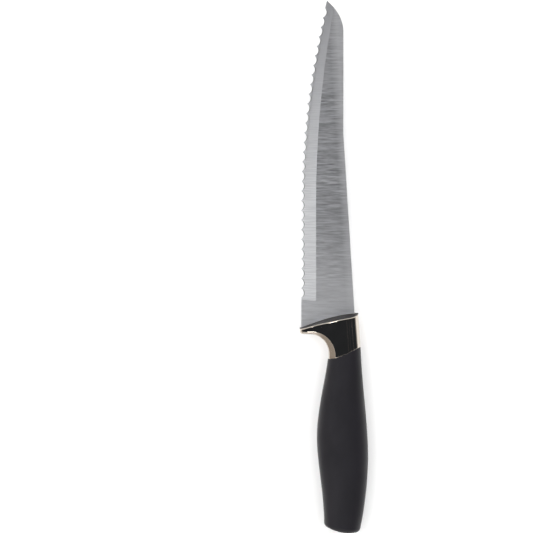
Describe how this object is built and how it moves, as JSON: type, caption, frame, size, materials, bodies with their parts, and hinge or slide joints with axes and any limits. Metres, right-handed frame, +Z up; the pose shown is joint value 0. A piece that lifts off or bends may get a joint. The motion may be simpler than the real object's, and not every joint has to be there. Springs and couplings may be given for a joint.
{
  "type": "bread knife",
  "caption": "Serrated bread knife with a scalloped one-sided edge, a cast bolster with a finger guard and a soft moulded grip.",
  "frame": {"origin": "middle of the bounding box in plan, on the plane that the knife rests on when it lies on its side", "axes": "+Y along the knife towards the tip, +X towards the spine, +Z up, out of the blade's ground face"},
  "size_m": [0.0425, 0.33, 0.022],
  "materials": {
    "blade_steel": "brushed across the blade",
    "bolster_plating": "mirror polished plating",
    "potting_resin": "cured epoxy",
    "core_plastic": "moulded, unpolished",
    "rivet_metal": "plain turned",
    "grip_rubber": "soft-touch matt"
  },
  "bodies": {
    "root": {"blade": "blade_steel", "bolster": "bolster_plating", "tang_epoxy": "potting_resin", "core_left": "core_plastic", "core_right": "core_plastic", "core_rivets": "rivet_metal", "grip": "grip_rubber"}
  },
  "joints": []
}
